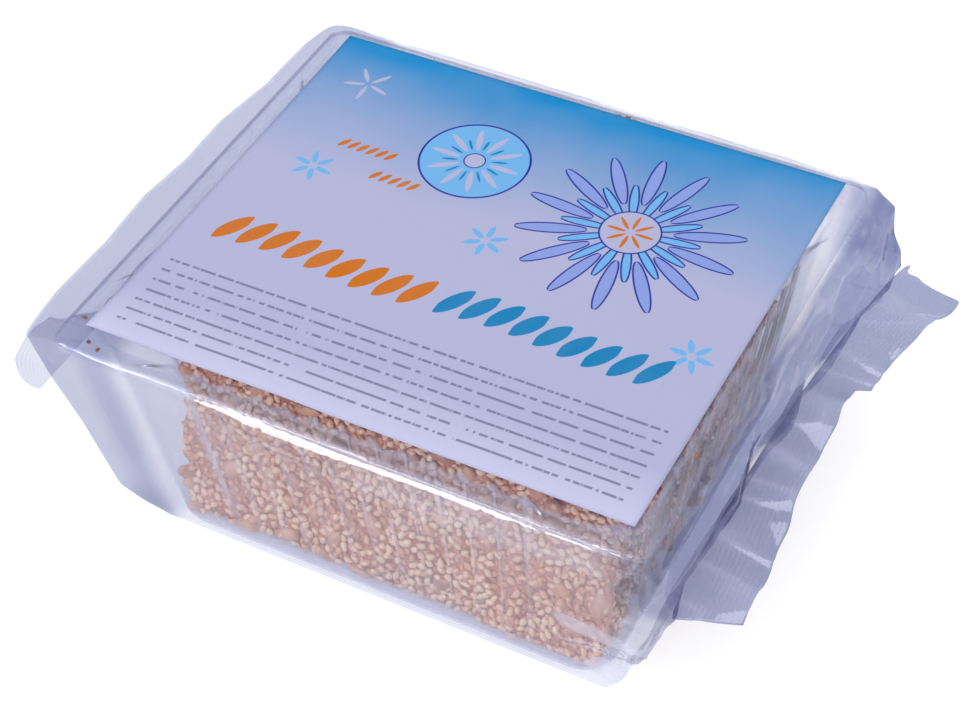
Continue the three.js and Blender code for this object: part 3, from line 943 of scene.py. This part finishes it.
class Field:
    """A number that varies over the label, built up by math nodes."""

    def __init__(self, tree, socket):
        self.tree = tree
        self.socket = socket

    def math(self, operation, *others):
        values = [other.socket if isinstance(other, Field) else float(other) for other in others]
        return Field(self.tree, sum_up(self.tree, operation, self.socket, *values))

    __add__ = partialmethod(math, "ADD")
    __sub__ = partialmethod(math, "SUBTRACT")
    __mul__ = partialmethod(math, "MULTIPLY")
    __truediv__ = partialmethod(math, "DIVIDE")
    size = partialmethod(math, "ABSOLUTE")
    most = partialmethod(math, "MAXIMUM")
    least = partialmethod(math, "MINIMUM")

    def inked(self, soft=0.0012):
        """1 where the field is above zero, with an edge as soft as printing."""
        return (self / soft + 0.5).clamped()

    def clamped(self):
        return self.most(0).least(1)


def leaf(x, y, length, width):
    """A leaf from the origin along X: above zero inside it."""
    along = (x / length).clamped()
    profile = (along * (along * -1 + 1)).math("POWER", 0.62) * (width * 1.18)
    beyond = ((x / length - 0.5).size() - 0.5).most(0) * length
    return profile - y.size() - beyond * 4


def ring_of_leaves(x, y, centre, count, inner, length, width, turn=0.0):
    """Leaves set round a centre like petals."""
    dx, dy = x - centre[0], y - centre[1]
    radius = (dx * dx + dy * dy).math("SQRT")
    angle = dy.math("ARCTAN2", dx) + turn
    sector = 2 * math.pi / count
    swing = ((angle / sector + 40.5).math("FRACT") - 0.5) * sector
    return leaf(radius * swing.math("COSINE") - inner, radius * swing.math("SINE"), length, width)


def disc(x, y, centre, radius):
    dx, dy = x - centre[0], y - centre[1]
    return (dx * dx + dy * dy).math("SQRT") * -1 + radius


def row_of_leaves(x, y, start, count, pitch, length, width, wave):
    """A slanting leaf repeated along a gently waving line."""
    cos, sin = math.cos(LEAF_SLANT), math.sin(LEAF_SLANT)
    dx = x - start[0]
    dy = y - start[1] - (dx * (2 * math.pi / WAVE_OF_LEAVES)).math("SINE") * wave
    within = ((dx / (count * pitch) - 0.5).size() * -1 + 0.5) * (count * pitch)
    local = ((dx / pitch).math("FRACT") - 0.5) * pitch
    turned_x = local * cos + dy * sin + length / 2
    return leaf(turned_x, dy * cos - local * sin, length, width).least(within)


def printed_paper():
    material, tree = new_material("printed_label_paper")
    place = add(tree, "ShaderNodeUVMap", uv_map="label_place")
    split = add(tree, "ShaderNodeSeparateXYZ", {0: place}).outputs
    x, y = Field(tree, split[0]), Field(tree, split[1])
    cloud = Field(tree, uneven(tree, 26, -0.03, 0.03, 2))
    rise = ((y + cloud - 0.50) / 0.36).clamped()
    plain = blend(tree, ((y * -1 + 0.13) / 0.13).clamped().socket, PAPER_WHITE, EDGE_WHITE)
    colour = blend(tree, rise.math("POWER", 1.25).socket, plain, SKY_BLUE)

    petals, spot, leaves = (partial(kind, x, y) for kind in (ring_of_leaves, disc, row_of_leaves))
    big, second = (0.715, 0.60), (0.385, 0.655)
    prints = []
    for centre, turn in (((0.13, 0.52), 0.2), ((0.50, 0.475), 0.5), ((0.93, 0.37), 0.1)):
        prints.append((petals(centre, 6, 0.004, 0.036, 0.011, turn), PALE_SKY, 0))
        prints.append((spot(centre, 0.009), PAPER_WHITE, 0))
    prints += [
        (petals(big, 14, 0.075, 0.125, 0.021, 0.1), PETAL_BLUE, OUTLINE_WIDTH),
        (petals(big, 14, 0.04, 0.085, 0.013, 0.1 + math.pi / 14), PALE_SKY, OUTLINE_WIDTH),
        (spot(big, 0.052), PAPER_WHITE, OUTLINE_WIDTH),
        (petals(big, 8, 0.008, 0.036, 0.007), ORANGE, 0),
        (spot(second, 0.098), PALE_SKY, 0.004),
        (petals(second, 10, 0.028, 0.058, 0.0115), PAPER_WHITE, 0),
        (petals(second, 10, 0.03, 0.03, 0.005, math.pi / 10), TEAL, 0),
        (spot(second, 0.018), PAPER_WHITE, 0.0025),
        (petals((0.105, 0.765), 5, 0.006, 0.042, 0.0085, 0.3), PAPER_WHITE, 0),
        (leaves((0.065, 0.315), 9, 0.046, 0.082, 0.031, 0.008), ORANGE, 0),
        (leaves((0.50, 0.315), 9, 0.046, 0.082, 0.031, 0.008), TEAL, 0),
        (leaves((0.14, 0.60), 6, 0.019, 0.03, 0.010, 0.0), ORANGE, 0),
        (leaves((0.235, 0.545), 5, 0.019, 0.03, 0.010, 0.0), ORANGE, 0),
    ]
    for field, tint, outline in prints:
        if outline:
            colour = blend(tree, (field + outline).inked().socket, colour, OUTLINE_BLUE)
        colour = blend(tree, field.inked().socket, colour, tint)
    row = y * (1 / RULE_PITCH)
    line_at = (row.math("FRACT") - 0.5).size() * -RULE_PITCH + 0.0026
    beat = add(tree, "ShaderNodeCombineXYZ", {0: (x * 95).socket, 1: (row.math("FLOOR") * 3.7).socket})
    dash = Field(tree, add(tree, "ShaderNodeTexNoise", {"Vector": beat, "Scale": 1.0, "Detail": 1.0})) - 0.43
    panel = ((x - 0.5).size() * -1 + 0.465).least((y - 0.125).size() * -1 + 0.094)
    rules = line_at.least(dash * 0.02).least(panel).inked(0.0014) * 0.75
    colour = blend(tree, rules.socket, colour, RULE_GREY)
    fibre = add(tree, "ShaderNodeBump", {
        "Strength": 0.12, "Distance": 0.0002, "Height": uneven(tree, 1500, 0, 1, 3)})
    faded = blend(tree, uneven(tree, 70, 0.0, 0.06), colour, PAPER_WHITE)
    return finished(material, "ShaderNodeBsdfPrincipled", {
        "Base Color": faded, "Roughness": uneven(tree, 300, 0.6, 0.72, 1), "Normal": fibre,
        "Specular IOR Level": 0.12})


u, v = square_grid(*LABEL_STEPS)
x, y = (u - 0.5) * LABEL_SIZE[0], (v - 0.5) * LABEL_SIZE[1]
flat = np.stack([x, y, 0 * x], axis=-1)
loose = ease(0.5 - v, 0.36, 0.5)
height = LABEL_HEIGHT + loose * drift(flat, (13, 60, 9), 40) * 1.7 + drift(flat, (30, 30, 9), 42) * 0.12
cos, sin = math.cos(math.radians(LABEL_TURN)), math.sin(math.radians(LABEL_TURN))
place = np.stack([LABEL_CENTRE[0] + x * cos - y * sin, LABEL_CENTRE[1] + x * sin + y * cos, height], axis=-1)
label = new_piece("label_sheet", *thin_sheet(place, LABEL_SHEET, 0), printed_paper(), "label_paper")
spots = np.tile(np.column_stack([u.ravel(), v.ravel() * LABEL_SIZE[1] / LABEL_SIZE[0]]), (2, 1))
corners = np.empty(len(label.data.loops), np.int32)
label.data.loops.foreach_get("vertex_index", corners)
label.data.uv_layers.new(name="label_place").data.foreach_set("uv", spots[corners].ravel())
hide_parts("label")
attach(label, "root")


# Studio: a pale seamless floor, a wide soft light overhead, one at the front left that only draws the
# bright lines on the film, and two weak fills, low in front and at the back right. The camera stands
# where the photo's did.
CAMERA_PLACE = (206.05, -360.68, 449.68)
CAMERA_TILT = 44.88
CAMERA_TURN = 29.44
CAMERA_ROLL = -2.45
CAMERA_LENS = 83.08
CAMERA_SENSOR = 36.0
CAMERA_SIGHT = 20.0
FLOOR_HALF = 4.0
FLOOR_TOP = -0.0002


def studio_floor():
    """The floor, with a glow of its own that keeps it white."""
    far = FLOOR_HALF
    mesh = bpy.data.meshes.new("studio_floor")
    corners = [(x, y, FLOOR_TOP) for x, y in ((-far, -far), (far, -far), (far, far), (-far, far))]
    mesh.from_pydata(corners, [], [(0, 1, 2, 3)])
    mesh.materials.append(finished(new_material("pale_floor")[0], "ShaderNodeBsdfPrincipled", {
        "Base Color": (0.68, 0.68, 0.68, 1), "Roughness": 0.7,
        "Emission Color": (1.0, 1.0, 1.0, 1), "Emission Strength": 0.46}))
    placed("studio_floor", mesh)


def soft_light(name, place, size, watts):
    """A rectangular lamp that faces the pack."""
    lamp = bpy.data.lights.new(name, "AREA")
    lamp.shape = "RECTANGLE"
    lamp.size, lamp.size_y = size
    lamp.energy = watts
    holder = placed(name, lamp)
    holder.location = place
    holder.rotation_euler = Vector(place).to_track_quat("Z", "Y").to_euler()
    return holder


studio_floor()
soft_light("light_overhead", (-0.3, -0.35, 1.25), (1.2, 1.2), 13)
soft_light("light_front_left", (-0.5, -1.05, 0.3), (0.8, 0.5), 18).visible_diffuse = False
soft_light("light_front_low", (-0.1, -1.25, 0.22), (0.8, 0.8), 3).visible_glossy = False
soft_light("light_back_right", (0.95, 0.75, 0.55), (0.6, 0.6), 6).visible_glossy = False
world = bpy.data.worlds.new("studio_air")
world.use_nodes = True
air = world.node_tree.nodes["Background"].inputs
air["Color"].default_value = (0.93, 0.95, 1.0, 1)
air["Strength"].default_value = 0.5
scene.world = world
scene.view_settings.view_transform = "Standard"

camera = placed("camera", bpy.data.cameras.new("camera"))
camera.data.lens = CAMERA_LENS
camera.data.sensor_width = CAMERA_SENSOR
camera.data.clip_end = CAMERA_SIGHT
camera.matrix_world = Matrix.Translation(Vector(np.array(CAMERA_PLACE) * MM + tray_centre))
for degrees, axis in ((CAMERA_TURN, "Z"), (CAMERA_TILT, "X"), (CAMERA_ROLL, "Z")):
    camera.matrix_world = camera.matrix_world @ Matrix.Rotation(math.radians(degrees), 4, axis)
scene.camera = camera
